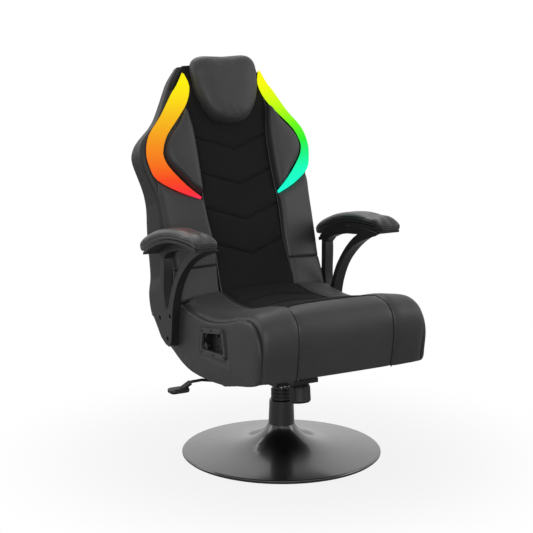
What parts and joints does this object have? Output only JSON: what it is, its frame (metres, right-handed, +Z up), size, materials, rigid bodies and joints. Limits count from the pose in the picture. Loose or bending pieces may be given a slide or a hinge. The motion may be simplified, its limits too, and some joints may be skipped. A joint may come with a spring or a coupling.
{
  "type": "gaming rocker chair",
  "caption": "Gaming rocker chair with wing-shaped glowing side strips, padded arms, head pillow and sound controls, on a round pedestal that swivels, lifts and rocks.",
  "frame": {"origin": "on the floor at the swivel axis, the centre of the round base", "axes": "+Z up; the sitter faces -Y; the sitter's right hand, with the levers and sound controls, is on -X"},
  "size_m": [0.6457, 0.7519, 1.0773],
  "materials": {
    "base_metal": "satin black powder coat",
    "floor_rubber": "matte",
    "collar_plastic": "matte moulded",
    "bush_plastic": "natural",
    "steel": "turned",
    "column_chrome": "polished",
    "mechanism_metal": "satin black",
    "lever_metal": "gloss black",
    "knob_plastic": "moulded",
    "panel_fabric": "woven sports mesh",
    "vinyl": "grained vinyl, satin",
    "foam": "open cell foam",
    "plywood": "raw plywood",
    "cover_fabric": "black woven backing",
    "led_cool": "light diffuser, yellow to green to aqua, lit",
    "led_warm": "light diffuser, yellow to orange to red, lit",
    "arm_plastic": "fine grained moulding",
    "arm_pad_vinyl": "soft grained skin",
    "bezel_plastic": "coarse grained moulding",
    "tray_plastic": "black moulding",
    "bolt_metal": "black oxide",
    "circuit_board": "solder mask"
  },
  "bodies": {
    "base": {"base_trumpet": "base_metal", "base_floor_ring": "floor_rubber", "base_hub_tube": "base_metal", "hub_collar": "collar_plastic", "cylinder_outer_tube": "steel", "cylinder_guide_bush": "bush_plastic"},
    "spindle": {"piston_rod": "steel", "thrust_bearing": "steel"},
    "column": {"inner_cylinder": "column_chrome", "valve_pin": "steel", "mechanism_housing": "mechanism_metal", "taper_socket": "mechanism_metal", "tilt_pivot_pin": "steel", "tension_bolt": "steel", "tension_spring": "steel"},
    "lift_actuator": {"lift_actuator": "mechanism_metal"},
    "lever": {"lever_rod": "lever_metal", "lever_paddle": "knob_plastic"},
    "tension_knob": {"tension_knob": "knob_plastic"},
    "volume_dial": {"volume_dial": "knob_plastic"},
    "bass_dial": {"bass_dial": "knob_plastic"},
    "power_button": {"power_button": "knob_plastic"},
    "seat": {"armrest_bolts": "bolt_metal", "armrest_frame_left": "arm_plastic", "armrest_frame_right": "arm_plastic", "armrest_pad_left": "arm_pad_vinyl", "armrest_pad_right": "arm_pad_vinyl", "armrest_plate_left": "arm_plastic", "armrest_plate_right": "arm_plastic", "back_center_panel": "panel_fabric", "back_frame": "mechanism_metal", "back_lower_side_left": "vinyl", "back_lower_side_right": "vinyl", "back_lower_wing_left": "vinyl", "back_lower_wing_right": "vinyl", "back_rear_cover": "cover_fabric", "back_shoulder_left": "vinyl", "back_shoulder_right": "vinyl", "bezel_screws": "bolt_metal", "control_bezel": "bezel_plastic", "control_board": "circuit_board", "control_tray": "tray_plastic", "headrest_pillow": "vinyl", "headrest_strap": "cover_fabric", "jack_block": "tray_plastic", "led_channel_left": "tray_plastic", "led_channel_right": "tray_plastic", "led_strip_left": "led_cool", "led_strip_right": "led_warm", "seat_board": "plywood", "seat_bolster_left": "vinyl", "seat_bolster_right": "vinyl", "seat_bottom_cover": "cover_fabric", "seat_center_panel": "panel_fabric", "seat_core": "foam", "seat_front_roll": "vinyl", "seat_plate": "mechanism_metal", "seat_plate_bolts": "steel", "seat_side_panel_left": "vinyl", "seat_side_panel_right": "vinyl"}
  },
  "joints": [
    {"name": "swivel", "type": "hinge", "parent": "base", "child": "spindle", "pos_m": [0, 0, 0.02], "axis": [0, 0, 1], "continuous": true},
    {"name": "seat_height", "type": "slide", "parent": "spindle", "child": "column", "axis": [0, 0, 1], "range_m": [0, 0.05]},
    {"name": "rock", "type": "hinge", "parent": "column", "child": "seat", "pos_m": [0, 0.062, 0.222], "axis": [-1, 0, 0], "range_deg": [0, 15], "stiffness_Nm_per_rad": 160, "springref_deg": -14.32},
    {"name": "knob_turn", "type": "hinge", "parent": "column", "child": "tension_knob", "pos_m": [0, -0.092, 0.222], "axis": [0, 0.1564, 0.9877], "continuous": true},
    {"name": "lever_lift", "type": "hinge", "parent": "column", "child": "lift_actuator", "pos_m": [-0.03, 0.02, 0.214], "axis": [0, 1, 0], "range_deg": [0, 3]},
    {"name": "tilt_lock", "type": "slide", "parent": "lift_actuator", "child": "lever", "axis": [-1, 0, 0], "range_m": [0, 0.01]},
    {"name": "volume_turn", "type": "hinge", "parent": "seat", "child": "volume_dial", "pos_m": [-0.25142, -0.09805, 0.374], "axis": [-0.9997, 0.0227, 0], "range_deg": [-135, 135]},
    {"name": "bass_turn", "type": "hinge", "parent": "seat", "child": "bass_dial", "pos_m": [-0.25142, -0.09805, 0.35], "axis": [-0.9997, 0.0227, 0], "range_deg": [-135, 135]},
    {"name": "power_press", "type": "slide", "parent": "seat", "child": "power_button", "axis": [0.9997, -0.0227, 0], "range_m": [0, 0.0015], "stiffness_N_per_m": 400, "springref_m": -0.001}
  ]
}
